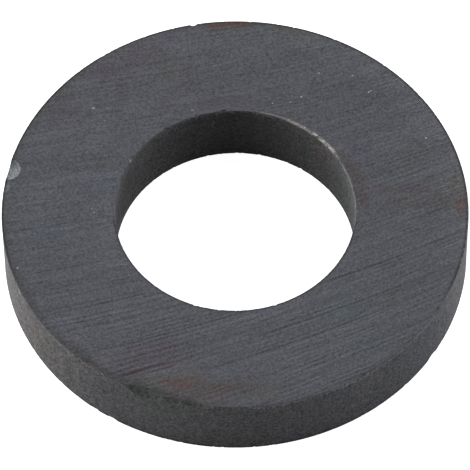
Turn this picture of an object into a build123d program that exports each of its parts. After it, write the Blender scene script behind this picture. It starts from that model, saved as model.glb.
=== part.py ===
from build123d import *
import math
import os
from collections import namedtuple

# A ferrite ring magnet: one pressed and sintered ring, with both faces ground flat and both walls
# left as they came out of the kiln. Ferrite is as brittle as stoneware, so its edges have chipped.
# Millimetres. The origin is the centre of the bottom face, +Z is the axis of the bore, and the
# front is -Y. Angles are in degrees, counter-clockwise from +X as seen from above.

# Driving dimensions
outer_diameter = 62.0
bore_diameter = 32.0
thickness = 10.0
edge_break = 0.08

# A chip leaves a shell-shaped scar on an edge. The scar is taken as a spherical hollow, and three
# lengths that can be measured on the ring give the ball that fits it:
#   half_length  straight from the scar's middle to its end, along the edge
#   face_reach   from the edge across the flat face to the scar's border
#   wall_reach   from the edge along the wall to the scar's border
Chip = namedtuple("Chip", "angle half_length face_reach wall_reach")

# Top edge of the outer wall: a bright half-round chip on the left with a thin flake below it, and
# a long spall at the front in three scallops, which is deepest towards its left end
left_chip = Chip(angle=167.1, half_length=1.75, face_reach=1.64, wall_reach=0.55)
left_flake = Chip(angle=172.4, half_length=1.15, face_reach=0.80, wall_reach=0.22)
front_nick = Chip(angle=231.6, half_length=0.80, face_reach=0.34, wall_reach=0.24)
front_spall = Chip(angle=247.4, half_length=3.10, face_reach=0.80, wall_reach=1.50)
front_spall_middle = Chip(angle=253.6, half_length=2.30, face_reach=0.44, wall_reach=0.80)
front_spall_tail = Chip(angle=258.8, half_length=2.00, face_reach=0.46, wall_reach=0.62)
right_nick = Chip(angle=302.0, half_length=0.55, face_reach=0.28, wall_reach=0.30)
right_chip = Chip(angle=327.8, half_length=0.95, face_reach=0.36, wall_reach=0.32)
back_nick = Chip(angle=99.9, half_length=0.50, face_reach=0.42, wall_reach=0.35)
top_rim_chips = [
    left_chip,
    left_flake,
    front_nick,
    front_spall,
    front_spall_middle,
    front_spall_tail,
    right_nick,
    right_chip,
    back_nick,
]

# Bottom edge of the outer wall: two small chips that break the outline
bottom_left_chip = Chip(angle=237.9, half_length=0.90, face_reach=0.22, wall_reach=0.32)
bottom_right_chip = Chip(angle=326.5, half_length=1.05, face_reach=0.32, wall_reach=0.42)
bottom_rim_chips = [bottom_left_chip, bottom_right_chip]

# Top edge of the bore: a row of small chips behind on the right, and single ones on the left
bore_row_start = Chip(angle=60.8, half_length=0.80, face_reach=0.24, wall_reach=0.24)
bore_row_second = Chip(angle=56.0, half_length=0.75, face_reach=0.30, wall_reach=0.26)
bore_row_middle = Chip(angle=50.6, half_length=1.15, face_reach=0.40, wall_reach=0.36)
bore_row_fourth = Chip(angle=44.2, half_length=0.90, face_reach=0.34, wall_reach=0.30)
bore_row_end = Chip(angle=39.4, half_length=0.60, face_reach=0.28, wall_reach=0.26)
bore_right_nick = Chip(angle=32.8, half_length=0.50, face_reach=0.24, wall_reach=0.26)
bore_back_nick = Chip(angle=94.8, half_length=0.55, face_reach=0.28, wall_reach=0.24)
bore_left_nick = Chip(angle=124.6, half_length=0.45, face_reach=0.30, wall_reach=0.26)
bore_left_chip = Chip(angle=148.6, half_length=0.60, face_reach=0.42, wall_reach=0.34)
top_bore_chips = [
    bore_row_start,
    bore_row_second,
    bore_row_middle,
    bore_row_fourth,
    bore_row_end,
    bore_right_nick,
    bore_back_nick,
    bore_left_nick,
    bore_left_chip,
]

outer_radius = outer_diameter / 2
bore_radius = bore_diameter / 2


def ring_section():
    """Half section of the ring in the XZ plane, with its four edges broken."""
    with BuildSketch(Plane.XZ) as section:
        with Locations(((outer_radius + bore_radius) / 2, thickness / 2)):
            Rectangle(outer_radius - bore_radius, thickness)
        chamfer(section.vertices(), length=edge_break)
    return section.sketch


def chip_ball(chip, edge_radius, side, up):
    """The ball whose overlap with the ring is this chip's scar.

    side is 1 on the outer wall and -1 in the bore, and up is 1 on the top face and -1 on the
    bottom face. The ball passes through the scar's end on the edge, its border on the face and
    its border on the wall, which gives three equations for its centre and its radius.
    """
    bend = side / edge_radius
    end = chip.half_length**2
    away = (end - chip.face_reach**2) / (2 * chip.face_reach - end * bend)
    chord = end * (1 + away * bend)
    above = (chord - chip.wall_reach**2) / (2 * chip.wall_reach)
    radius = math.sqrt(away**2 + above**2 + chord)
    turn = math.radians(chip.angle)
    from_axis = edge_radius + side * away
    height = thickness + above if up > 0 else -above
    return Pos(from_axis * math.cos(turn), from_axis * math.sin(turn), height) * Sphere(radius)


def ring_magnet():
    """The ring, turned from its section, less the scars on its edges."""
    ring = revolve(ring_section(), axis=Axis.Z)
    balls = [chip_ball(chip, outer_radius, side=1, up=1) for chip in top_rim_chips]
    balls += [chip_ball(chip, outer_radius, side=1, up=-1) for chip in bottom_rim_chips]
    balls += [chip_ball(chip, bore_radius, side=-1, up=1) for chip in top_bore_chips]
    for ball in balls:
        ring = ring - ball
    return ring


magnet = ring_magnet()
magnet.label = "ring_magnet"
solid = magnet.solids()[0]
print("ring_magnet", len(magnet.solids()), "solid,", round(solid.volume, 1), "mm3")

os.makedirs("parts", exist_ok=True)
export_step(solid, "parts/ring_magnet.step")
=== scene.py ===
# %% [markdown]
# # A ferrite ring magnet
#
# Ferrite is iron oxide powder, pressed into a ring and fired like stoneware. Its two faces are then
# ground flat, and its walls are left as they came out of the kiln. Four things give such a ring its
# look: curved grinding marks on the faces, a dull grainy skin on the walls, small shell-shaped chips
# along the edges, and thin films of rust and colour. Each has its own step below.
#
# Lengths in the cells are in millimetres, because the marks were measured so. Blender works in
# metres, and MM turns one into the other. Angles are in degrees, counter-clockwise from +X.

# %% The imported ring, kept as a fixed frame
import math

import bmesh
import bpy
import numpy as np
from mathutils import Matrix, Vector


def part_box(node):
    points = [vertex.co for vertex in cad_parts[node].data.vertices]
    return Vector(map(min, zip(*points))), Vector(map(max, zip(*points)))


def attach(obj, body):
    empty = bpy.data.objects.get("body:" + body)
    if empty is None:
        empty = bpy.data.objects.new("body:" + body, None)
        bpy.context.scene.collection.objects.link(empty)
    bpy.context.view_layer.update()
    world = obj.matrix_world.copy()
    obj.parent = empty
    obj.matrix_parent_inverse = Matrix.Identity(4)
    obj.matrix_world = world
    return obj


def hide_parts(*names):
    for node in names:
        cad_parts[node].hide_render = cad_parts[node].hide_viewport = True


MM = 0.001
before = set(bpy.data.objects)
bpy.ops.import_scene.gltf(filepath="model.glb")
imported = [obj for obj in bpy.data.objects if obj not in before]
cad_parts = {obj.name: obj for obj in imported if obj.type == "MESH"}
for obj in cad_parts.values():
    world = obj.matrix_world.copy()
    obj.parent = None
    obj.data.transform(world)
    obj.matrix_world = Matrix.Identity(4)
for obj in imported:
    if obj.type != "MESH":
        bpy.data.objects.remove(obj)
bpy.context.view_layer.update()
low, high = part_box("ring_magnet")
outer_radius = (high.x - low.x) / 2 / MM
thickness = (high.z - low.z) / MM
# A box can't show these two, so they repeat the source's values.
bore_radius = 16.0
edge_break = 0.08
print("ring of radius %.3f mm and thickness %.3f mm" % (outer_radius, thickness))

# %% [markdown]
# ## Short calls for laying nodes
#
# A node tree could be laid by hand in the editor, but a script can be read, changed and run again.
# Written out in full it grows long, so a few helpers come first. `put` adds one node. A `Wire` is
# the output of a node, and plain arithmetic on it adds a Math node, or a Vector Math node where the
# wire carries a vector. That keeps a formula in a tree as readable as one on paper.


# %% Helpers: nodes and wires
class Wire:
    """A node's output that plain arithmetic works on."""

    def __init__(self, tree, socket):
        self.tree, self.socket = tree, socket

    def __add__(self, other):
        return calc("ADD", self, other)

    def __radd__(self, other):
        return calc("ADD", other, self)

    def __sub__(self, other):
        return calc("SUBTRACT", self, other)

    def __rsub__(self, other):
        return calc("SUBTRACT", other, self)

    def __mul__(self, other):
        return calc("MULTIPLY", self, other)

    def __rmul__(self, other):
        return calc("MULTIPLY", other, self)

    def __truediv__(self, other):
        return calc("DIVIDE", self, other)


def socket_of(sockets, key):
    """The socket with that number, or the one in use under that name."""
    if isinstance(key, int):
        return sockets[key]
    return next(s for s in sockets if s.name == key and s.enabled)


def put(tree, kind, wires=None, out=0, **settings):
    """Adds a node with its settings and inputs, and gives one of its outputs as a Wire."""
    node = tree.nodes.new(kind)
    for name, value in settings.items():
        setattr(node, name, value)
    for key, value in (wires or {}).items():
        socket = socket_of(node.inputs, key)
        for one in value if isinstance(value, list) else [value]:
            if isinstance(one, Wire):
                tree.links.new(one.socket, socket)
            else:
                socket.default_value = one
    return Wire(tree, socket_of(node.outputs, out)) if len(node.outputs) else node


def calc(operation, *values):
    """One Math node, or one Vector Math node where a wire carries a vector."""
    tree = next(v.tree for v in values if isinstance(v, Wire))
    vectors = [v for v in values if isinstance(v, Wire) and v.socket.type == "VECTOR"]
    if not vectors:
        return put(tree, "ShaderNodeMath", dict(enumerate(values)), operation=operation)
    numbers = [v for v in values if v not in vectors and not isinstance(v, Vector)]
    if operation == "MULTIPLY" and numbers:
        return put(tree, "ShaderNodeVectorMath", {0: vectors[0], 3: numbers[0]}, operation="SCALE")
    out = 1 if operation in ("DOT_PRODUCT", "DISTANCE") else 0
    return put(tree, "ShaderNodeVectorMath", dict(enumerate(values)), out, operation=operation)


# %% [markdown]
# These few nodes turn up in nearly every tree. `ramp` is the most used: most edges of a pattern are
# a smooth step from one value to another.


# %% Helpers: vectors, smooth steps and noise
def split(vector):
    """The x, y and z of a vector wire."""
    first = put(vector.tree, "ShaderNodeSeparateXYZ", {0: vector})
    return [Wire(vector.tree, part) for part in first.socket.node.outputs]


def join(tree, x, y, z):
    """A vector wire from three numbers or wires."""
    return put(tree, "ShaderNodeCombineXYZ", {0: x, 1: y, 2: z})


def ramp(value, start, end, bottom=0.0, top=1.0):
    """A smooth rise from bottom to top as value goes from start to end.

    The smooth step holds its two ends by itself, so the node's own clamp stays off. Hundreds of
    clamps in one material would be more than the renderer can hold.
    """
    wires = {"Value": value, "From Min": start, "From Max": end, "To Min": bottom, "To Max": top}
    return put(value.tree, "ShaderNodeMapRange", wires, interpolation_type="SMOOTHSTEP", clamp=False)


def noise(vector, scale=1.0, detail=2.0, roughness=0.5, out=0):
    """Noise from 0 to 1 with its middle at one half. Its humps are about 1 / scale apart."""
    wires = {"Vector": vector, "Scale": scale, "Detail": detail, "Roughness": roughness}
    return put(vector.tree, "ShaderNodeTexNoise", wires, out)


# %% [markdown]
# A tree that is used more than once becomes a group. Its inputs have names, so a size can be changed
# in one place, in the editor too.

# %% Helpers: groups with named inputs
SOCKETS = {bool: "Bool", int: "Int", float: "Float", tuple: "Vector", str: "Material"}


def new_tree(name, kind, inputs, outputs):
    """A node group with named inputs and their first values. None stands for geometry."""
    tree = bpy.data.node_groups.new(name, kind)
    for way, sockets in (("INPUT", inputs), ("OUTPUT", outputs)):
        for label, value in sockets.items():
            kind_of = "NodeSocket" + ("Geometry" if value is None else SOCKETS[type(value)])
            socket = tree.interface.new_socket(label, in_out=way, socket_type=kind_of)
            if way == "INPUT" and isinstance(value, (int, float, tuple)):
                socket.default_value = value
    first = tree.nodes.new("NodeGroupInput")
    return tree, {s.name: Wire(tree, s) for s in first.outputs if s.name}


def close(tree, **results):
    """Leads the results to the group's outputs."""
    last = tree.nodes.new("NodeGroupOutput")
    for label, wire in results.items():
        tree.links.new(wire.socket, last.inputs[label])


# %% [markdown]
# ## The body: one section, swept round a circle
#
# On the real object this shape is pressed in a round die and ground on two sides, so one section
# is the same all the way round. A cylinder with a hole would give the same outline. Sweeping a
# section along a circle in Geometry Nodes is chosen because each size stays a named input, and the
# rows of faces come out even, which the uneven kiln skin and the chips need.
#
# The section is a rectangle with its corners filleted, which makes sixteen edges. Every fourth one
# is a long side, in turn a flat face and a wall. Subdivide Curve cuts only those: a few times where
# the ring is flat, and often where it is uneven.

# %% Geometry Nodes: the swept ring
body_tree, given = new_tree(
    "Swept ring",
    "GeometryNodeTree",
    {
        "Outer radius": 0.031,
        "Bore radius": 0.016,
        "Thickness": 0.010,
        "Edge radius": 0.00015,
        "Steps round": 480,
        "Cuts across a face": 5,
        "Cuts down a wall": 18,
        "Wall unevenness": 0.00003,
    },
    {"Mesh": None},
)
width = given["Outer radius"] - given["Bore radius"]
wires = {"Width": width, "Height": given["Thickness"]}
section = put(body_tree, "GeometryNodeCurvePrimitiveQuadrilateral", wires)
wires = {"Curve": section, "Count": 3, "Radius": given["Edge radius"]}
section = put(body_tree, "GeometryNodeFilletCurve", wires, mode="POLY")
FACE_EDGE, WALL_EDGE, EDGES_BEFORE_REPEAT = 3.0, 7.0, 8.0
in_turn = calc("FLOORED_MODULO", put(body_tree, "GeometryNodeInputIndex"), EDGES_BEFORE_REPEAT)
cuts = calc("COMPARE", in_turn, FACE_EDGE, 0.1) * given["Cuts across a face"]
cuts = cuts + calc("COMPARE", in_turn, WALL_EDGE, 0.1) * given["Cuts down a wall"]
section = put(body_tree, "GeometryNodeSubdivideCurve", {"Curve": section, "Cuts": cuts})
middle_radius = (given["Outer radius"] + given["Bore radius"]) * 0.5
wires = {"Resolution": given["Steps round"], "Radius": middle_radius}
path = put(body_tree, "GeometryNodeCurvePrimitiveCircle", wires)
ring = put(body_tree, "GeometryNodeCurveToMesh", {"Curve": path, "Profile Curve": section})
wires = {"Geometry": ring, "Offset": join(body_tree, 0.0, 0.0, given["Thickness"] * 0.5)}
ring = put(body_tree, "GeometryNodeSetPosition", wires)
# The walls shrank a little unevenly in the kiln. They are only ever moved into the ferrite, and
# not within a hair of the edges, so the chips keep their places.
DENTS_PER_METRE = 420.0
normal = put(body_tree, "GeometryNodeInputNormal")
spot = put(body_tree, "GeometryNodeInputPosition")
spot_height = split(spot)[2]
from_face = calc("MINIMUM", spot_height, given["Thickness"] - spot_height)
on_wall = ramp(calc("ABSOLUTE", split(normal)[2]), 0.5, 0.2) * ramp(from_face, 0.0002, 0.0009)
dents = noise(spot, DENTS_PER_METRE, 3.0, 0.55) * given["Wall unevenness"]
wires = {"Geometry": ring, "Offset": normal * (dents * on_wall * -1.0)}
ring = put(body_tree, "GeometryNodeSetPosition", wires)
close(body_tree, Mesh=ring)
print("swept ring:", len(body_tree.nodes), "nodes")

# %% [markdown]
# ## The chips: balls that bite the edges
#
# Ferrite breaks like glass or flint: a knock on an edge throws off a flake and leaves a shallow
# hollow like the inside of a mussel shell. Such a hollow could be sculpted, but a large ball that
# overlaps the edge leaves nearly the same scar, and three lengths measured on the ring fix the
# ball: half the scar's length along the edge, its reach across the face and its reach down the
# wall. The long spall at the front, the pale chip at the left and the row of chips in the bore were
# measured this way.

# %% The measured chips
# angle, half length along the edge, reach across the face, reach down the wall
TOP_RIM_CHIPS = {
    "left chip": (167.1, 1.75, 1.64, 0.55),
    "left flake": (172.4, 1.15, 0.80, 0.22),
    "front nick": (231.6, 0.80, 0.34, 0.24),
    "front spall": (247.4, 3.10, 0.80, 1.50),
    "front spall middle": (253.6, 2.30, 0.44, 0.80),
    "front spall tail": (258.8, 2.00, 0.46, 0.62),
    "right nick": (302.0, 0.55, 0.28, 0.30),
    "right chip": (327.8, 0.95, 0.36, 0.32),
    "back nick": (99.9, 0.50, 0.42, 0.35),
}
BOTTOM_RIM_CHIPS = {
    "bottom left chip": (237.9, 0.90, 0.22, 0.32),
    "bottom right chip": (326.5, 1.05, 0.32, 0.42),
}
TOP_BORE_CHIPS = {
    "bore row start": (60.8, 0.80, 0.24, 0.24),
    "bore row second": (56.0, 0.75, 0.30, 0.26),
    "bore row middle": (50.6, 1.15, 0.40, 0.36),
    "bore row fourth": (44.2, 0.90, 0.34, 0.30),
    "bore row end": (39.4, 0.60, 0.28, 0.26),
    "bore right nick": (32.8, 0.50, 0.24, 0.26),
    "bore back nick": (94.8, 0.55, 0.28, 0.24),
    "bore left nick": (124.6, 0.45, 0.30, 0.26),
    "bore left chip": (148.6, 0.60, 0.42, 0.34),
}


def chip_ball(chip, edge, side, up):
    """The ball of one chip: its centre, its radius and the way from its centre to the edge.

    Side is 1 at the rim and -1 at the bore, and up is 1 at the top and -1 below. The centre lies
    away from the wall and above the face, just so far that the ball's surface passes through the
    two ends of the scar, its inmost point on the face and its lowest point on the wall.
    """
    angle, half_length, face_reach, wall_reach = chip
    bend, ends = side / edge, half_length**2
    away = (ends - face_reach**2) / (2 * face_reach - ends * bend)
    chord = ends * (1 + away * bend)
    above = (chord - wall_reach**2) / (2 * wall_reach)
    turn = math.radians(angle)
    outward = Vector((math.cos(turn), math.sin(turn), 0))
    middle = outward * (edge + side * away)
    middle.z = thickness + above if up > 0 else -above
    aim = -(outward * (side * away) + Vector((0, 0, up * above))).normalized()
    return middle, math.sqrt(away**2 + above**2 + chord), aim


balls = [chip_ball(c, outer_radius, 1, 1) for c in TOP_RIM_CHIPS.values()]
balls += [chip_ball(c, outer_radius, 1, -1) for c in BOTTOM_RIM_CHIPS.values()]
balls += [chip_ball(c, bore_radius, -1, 1) for c in TOP_BORE_CHIPS.values()]
widths = [radius for _, radius, _ in balls]
print(len(balls), "measured chips, balls of %.1f to %.1f mm" % (min(widths), max(widths)))

# %% [markdown]
# The ground face also has pits where a grain was torn out. Broken ferrite is paler than ground
# ferrite, so each pit shows as a light speck. They are the same kind of hollow, cut by a small ball
# from above, so they join the same list.

# %% The torn-out grains on the top face
# x, y, width across
PITS = [
    (-18.9, 16.8, 0.44),
    (-17.0, 16.8, 0.24),
    (-17.4, 14.7, 0.22),
    (9.1, 18.2, 0.28),
    (7.6, 17.3, 0.22),
    (5.2, 17.2, 0.26),
    (6.0, 15.75, 0.24),
    (16.1, 21.6, 0.24),
    (11.6, 22.1, 0.24),
    (18.2, 18.85, 0.24),
    (18.5, 19.05, 0.26),
    (25.7, 11.2, 0.26),
    (-19.0, 0.4, 0.24),
    (-18.7, -0.2, 0.26),
    (-28.8, -8.9, 0.40),
    (-15.7, 6.4, 0.22),
    (-5.6, 16.25, 0.28),
]
# the radius of a pit's ball, as a share of the pit's width
PIT_BALL = 0.75
first_pit = len(balls)
for x, y, across in PITS:
    radius = across * PIT_BALL
    rise = math.sqrt(radius**2 - (across / 2) ** 2)
    balls.append((Vector((x, y, thickness + rise)), radius, Vector((0, 0, -1))))

chip_points = bpy.data.meshes.new("chip_points")
chip_points.from_pydata([centre * MM for centre, _, _ in balls], [], [])
radii = chip_points.attributes.new("ball_radius", "FLOAT", "POINT")
radii.data.foreach_set("value", [radius * MM for _, radius, _ in balls])
aims = chip_points.attributes.new("aim", "FLOAT_VECTOR", "POINT")
aims.data.foreach_set("vector", [part for _, _, aim in balls for part in aim])
print(len(chip_points.vertices), "points carry a ball radius and an aim")

# %% [markdown]
# ## The ball itself
#
# A plain sphere would leave a scar as smooth as a spoon's. A real one has faint ripples that
# spread from the blow, and an uneven border. The ball is a UV Sphere whose rings are drawn towards
# its lower pole, the only part that ever touches the ring, so the faces are fine where they count.
# Ripples about that pole and a little noise then move its surface in and out.

# %% Geometry Nodes: a rippled ball with a fine pole
ball_tree, given = new_tree(
    "Rippled ball",
    "GeometryNodeTree",
    {
        "Segments": 96,
        "Rings": 96,
        "Pole fineness": 1.6,
        "Ripple depth": 0.004,
        "Ripples": 60.0,
        "Roughness depth": 0.012,
        "Roughness scale": 3.0,
        "Seed": 0,
    },
    {"Mesh": None},
)
ball = put(ball_tree, "GeometryNodeMeshUVSphere", {"Segments": given["Segments"], "Rings": given["Rings"]})
spot = put(ball_tree, "GeometryNodeInputPosition")
x, y, z = split(spot)
share = calc("ARCCOSINE", calc("MAXIMUM", calc("MINIMUM", z * -1.0, 1.0), -1.0)) / math.pi
polar = calc("POWER", share, given["Pole fineness"]) * math.pi
level = calc("NORMALIZE", join(ball_tree, x, y, 0.0)) * calc("SINE", polar)
refined = level + join(ball_tree, 0.0, 0.0, calc("COSINE", polar) * -1.0)
wave = calc("SINE", polar * given["Ripples"]) * given["Ripple depth"]
# Each seed reads the noise at another place, this far from the last one.
DRIFT_X, DRIFT_Y = 7.31, 3.17
drift = join(ball_tree, given["Seed"] * DRIFT_X, given["Seed"] * DRIFT_Y, 0.0)
rough = noise(refined + drift, given["Roughness scale"], 4.0, 0.6) - 0.5
rough = rough * 2.0 * given["Roughness depth"]
wires = {"Geometry": ball, "Position": refined * (1.0 + wave + rough)}
ball = put(ball_tree, "GeometryNodeSetPosition", wires)
close(ball_tree, Mesh=ball)
print("rippled ball:", len(ball_tree.nodes), "nodes")

# %% [markdown]
# ## The crumbled edges
#
# Between the large chips the edge isn't sharp either: years of knocks have crumbled it in hundreds
# of places no wider than a grain of sand. Nobody would place those by hand. Random Value nodes give
# each crumb an angle, a size, a depth and a tilt, and the seed is fixed, so every run is the same.

# %% Geometry Nodes: crumbs along one edge
crumb_tree, given = new_tree(
    "Crumbs along an edge",
    "GeometryNodeTree",
    {
        "Edge radius": 0.031,
        "Edge height": 0.010,
        "Side": 1.0,
        "Up": 1.0,
        "Count": 150,
        "Smallest ball": 0.00015,
        "Largest ball": 0.0007,
        "Shallowest": 0.00006,
        "Deepest": 0.00015,
        "Seed": 1,
    },
    {"Points": None},
)


def random_value(draw, low_end=0.0, high_end=1.0):
    """A random number for each crumb, from the group's seed and the number of the draw."""
    wires = {"Min": low_end, "Max": high_end, "Seed": given["Seed"] * 10.0 + float(draw)}
    return put(crumb_tree, "FunctionNodeRandomValue", wires, "Value", data_type="FLOAT")


turn = random_value(1, 0.0, 2 * math.pi)
# A power above 1 makes small and shallow crumbs the rule, and large and deep ones rare.
size_share = calc("POWER", random_value(2), 3.0)
depth_share = calc("POWER", random_value(3), 2.0)
radius = given["Smallest ball"] + (given["Largest ball"] - given["Smallest ball"]) * size_share
bite = given["Shallowest"] + (given["Deepest"] - given["Shallowest"]) * depth_share
tilt = random_value(4, math.radians(12), math.radians(78))
outward = calc("COSINE", tilt) * given["Side"]
upward = calc("SINE", tilt) * given["Up"]
from_axis = given["Edge radius"] + (radius - bite) * outward
centre = join(
    crumb_tree,
    from_axis * calc("COSINE", turn),
    from_axis * calc("SINE", turn),
    given["Edge height"] + (radius - bite) * upward,
)
aim = join(crumb_tree, calc("COSINE", turn) * outward, calc("SINE", turn) * outward, upward) * -1.0
crumbs = put(crumb_tree, "GeometryNodePoints", {"Count": given["Count"], "Position": centre})
for label, value, kind in (("ball_radius", radius, "FLOAT"), ("aim", aim, "FLOAT_VECTOR")):
    wires = {"Geometry": crumbs, "Name": label, "Value": value}
    crumbs = put(crumb_tree, "GeometryNodeStoreNamedAttribute", wires, data_type=kind, domain="POINT")
close(crumb_tree, Points=crumbs)
print("crumbs along an edge:", len(crumb_tree.nodes), "nodes")

# %% [markdown]
# ## Cutting, and telling the surfaces apart
#
# One Mesh Boolean takes all the balls off the ring. Its Manifold solver is the quick one, and it
# wants each ball as an operand of its own, so the instances go in as they are. Afterwards each face
# gets its finish: faces left by a ball are broken ferrite, level faces are ground, and the rest is
# kiln skin. The cut faces are known by their material, which the balls bring with them.

# %% Geometry Nodes: the chipped ring
chipped_tree, given = new_tree(
    "Chipped ring",
    "GeometryNodeTree",
    {
        "Chip points": None,
        "First pit": 19,
        "Outer radius": 0.031,
        "Bore radius": 0.016,
        "Thickness": 0.010,
        "Edge radius": 0.00015,
        "Wall unevenness": 0.00003,
        "Crumbs on a rim": 150,
        "Crumbs on a bore edge": 90,
        "Seed": 5,
        "Ground face": "",
        "Kiln skin": "",
        "Broken face": "",
    },
    {"Geometry": None},
)
print("chipped ring:", len(given), "inputs")

# %% [markdown]
# One ball used again and again would leave scars that look alike. So each kind of ball is made in a
# few shapes, told apart by their seeds, and the points take them in turn. The measured chips get
# fine balls. Pits and crumbs are too small to show a ball's faces, so coarse ones do for them.

# %% Helpers: finishes and the cutting balls
GROUP = "GeometryNodeGroup"
SIZES = ("Outer radius", "Bore radius", "Thickness", "Edge radius", "Wall unevenness")
# faces round a ball and from pole to pole, and the depth and scale of its roughness
FINE_BALL = {"Segments": 64, "Rings": 60, "Roughness depth": 0.016, "Roughness scale": 5.5}
COARSE_BALL = {"Segments": 12, "Rings": 10, "Roughness depth": 0.10, "Roughness scale": 1.6}


def painted(shape, finish, **settings):
    """Gives the shape, or the faces chosen from it, the finish with that name."""
    wires = {"Geometry": shape, "Material": given[finish]} | settings
    return put(chipped_tree, "GeometryNodeSetMaterial", wires)


def stored(name, kind="FLOAT"):
    """A value that the points or faces carry under that name."""
    return put(chipped_tree, "GeometryNodeInputNamedAttribute", {"Name": name}, data_type=kind)


def cutters(points, kind_of_ball, variants, chosen=True):
    """Balls of several shapes on points, each turned so that its fine pole meets the edge."""
    shapes = []
    for seed in range(variants):
        wires = kind_of_ball | {"Ripple depth": kind_of_ball["Roughness depth"] / 5, "Seed": seed}
        shape = painted(put(chipped_tree, GROUP, wires, node_tree=ball_tree), "Broken face")
        shapes.append(put(chipped_tree, "GeometryNodeGeometryToInstance", {0: shape}))
    index = put(chipped_tree, "GeometryNodeInputIndex")
    upright = stored("aim", "FLOAT_VECTOR") * -1.0
    wires = {
        "Points": points,
        "Selection": chosen,
        "Instance": put(chipped_tree, "GeometryNodeJoinGeometry", {0: shapes[::-1]}),
        "Pick Instance": True,
        "Instance Index": calc("FLOORED_MODULO", index, float(variants)),
        "Rotation": put(chipped_tree, "FunctionNodeAlignRotationToVector", {"Vector": upright}, axis="Z"),
        "Scale": stored("ball_radius"),
    }
    return put(chipped_tree, "GeometryNodeInstanceOnPoints", wires)


# %% Geometry Nodes: the balls in their places
size_wires = {name: given[name] for name in SIZES}
whole = painted(put(chipped_tree, GROUP, size_wires, node_tree=body_tree), "Ground face")
measured = put(chipped_tree, "GeometryNodeMeshToPoints", {"Mesh": given["Chip points"]})
point_number = put(chipped_tree, "GeometryNodeInputIndex")
is_pit = calc("GREATER_THAN", point_number + 0.5, given["First pit"])
operands = [
    cutters(measured, FINE_BALL, 5, 1.0 - is_pit),
    cutters(measured, COARSE_BALL, 5, is_pit),
]
edges = []
for index, (side, up) in enumerate(((1.0, 1.0), (1.0, -1.0), (-1.0, 1.0), (-1.0, -1.0))):
    wires = {
        "Edge radius": given["Outer radius"] if side > 0 else given["Bore radius"],
        "Edge height": given["Thickness"] if up > 0 else 0.0,
        "Side": side,
        "Up": up,
        "Count": given["Crumbs on a rim"] if side > 0 else given["Crumbs on a bore edge"],
        "Seed": given["Seed"] + float(index),
    }
    edges.append(put(chipped_tree, GROUP, wires, node_tree=crumb_tree))
all_crumbs = put(chipped_tree, "GeometryNodeJoinGeometry", {0: edges[::-1]})
operands.append(cutters(all_crumbs, COARSE_BALL, 6))
print(len(operands), "sets of balls, on", len(edges), "edges")

# %% Geometry Nodes: the cut and its finishes
wires = {"Mesh 1": whole, "Mesh 2": operands}
cut = put(chipped_tree, "GeometryNodeMeshBoolean", wires, operation="DIFFERENCE", solver="MANIFOLD")
# The ring's own faces have the first material, number 0, and the balls' faces the next.
finish_number = put(chipped_tree, "GeometryNodeInputMaterialIndex")
wires = {"Geometry": cut, "Name": "broken", "Value": calc("GREATER_THAN", finish_number, 0.5)}
cut = put(chipped_tree, "GeometryNodeStoreNamedAttribute", wires, data_type="FLOAT", domain="FACE")
cut = put(chipped_tree, "GeometryNodeRealizeInstances", {"Geometry": cut})
levelness = calc("ABSOLUTE", split(put(chipped_tree, "GeometryNodeInputNormal"))[2])
cut = painted(cut, "Kiln skin", Selection=calc("LESS_THAN", levelness, 0.7))
cut = painted(cut, "Broken face", Selection=stored("broken"))
close(chipped_tree, Geometry=cut)
print("chipped ring:", len(chipped_tree.nodes), "nodes")

# %% [markdown]
# ## Where a spot lies on the ring
#
# All three finishes need to know where a spot is: how far from the axis, at which angle, how high,
# and how far from the nearest edge. Texture Coordinate's Object output gives the spot in metres in
# the piece's own space, so a pattern made from it stays on the piece from every side.


# %% Helper: places on the ring
class Place:
    """The spot being shaded, in millimetres and degrees."""

    def __init__(self, tree):
        self.tree = tree
        self.mm = put(tree, "ShaderNodeTexCoord", out="Object") * (1 / MM)
        self.x, self.y, self.z = split(self.mm)
        self.radius = calc("SQRT", self.x * self.x + self.y * self.y)
        degrees = calc("ARCTAN2", self.y, self.x) * (180 / math.pi)
        self.angle = calc("FLOORED_MODULO", degrees, 360.0)
        self.under_face = calc("MINIMUM", self.z, thickness - self.z)
        # 1 on the upper half of the ring and 0 on the lower, for what only the top shows
        self.top = ramp(self.z, 4.0, 6.0)

    def from_edge(self, edge):
        """Distance to the nearer of the two edges at that radius."""
        out = self.radius - edge
        return calc("SQRT", out * out + self.under_face * self.under_face)

    def between(self, start, end, soft=2.0):
        """1 from one angle to another, and 0 elsewhere, with soft ends."""
        off = calc("FLOORED_MODULO", self.angle - ((start + end) / 2 - 180), 360.0) - 180.0
        half = (end - start) / 2
        return ramp(calc("ABSOLUTE", off), half + soft, half - soft)

    def near(self, x, y, z, inner, outer):
        """1 within inner of a point, falling to 0 at outer."""
        return ramp(calc("DISTANCE", self.mm, Vector((x, y, z))), outer, inner)


def mix_colour(factor, a, b, way="MIX"):
    """Colour a turned into b by the factor. With MULTIPLY, a is stained by b."""
    tree = next(v.tree for v in (factor, a, b) if isinstance(v, Wire))
    settings = {"data_type": "RGBA", "blend_type": way, "clamp_factor": True}
    # 6 and 7 are the colour inputs of the node, and 2 is its colour output
    return put(tree, "ShaderNodeMix", {0: factor, 6: a, 7: b}, 2, **settings)


def grey(level, red=0.0, blue=0.0):
    """A near-grey in linear light, with its lean to red and to blue as shares."""
    return (level * (1 + red), level, level * (1 + blue), 1.0)


def new_material(name):
    """An empty material and its node tree."""
    material = bpy.data.materials.new(name)
    material.use_nodes = True
    material.node_tree.nodes.clear()
    return material, material.node_tree


def toned(colour, shade):
    """The colour, made lighter or darker by a shade that is 1 where nothing changes."""
    as_grey = put(shade.tree, "ShaderNodeCombineColor", {0: shade, 1: shade, 2: shade})
    return mix_colour(1.0, colour, as_grey, "MULTIPLY")


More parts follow.
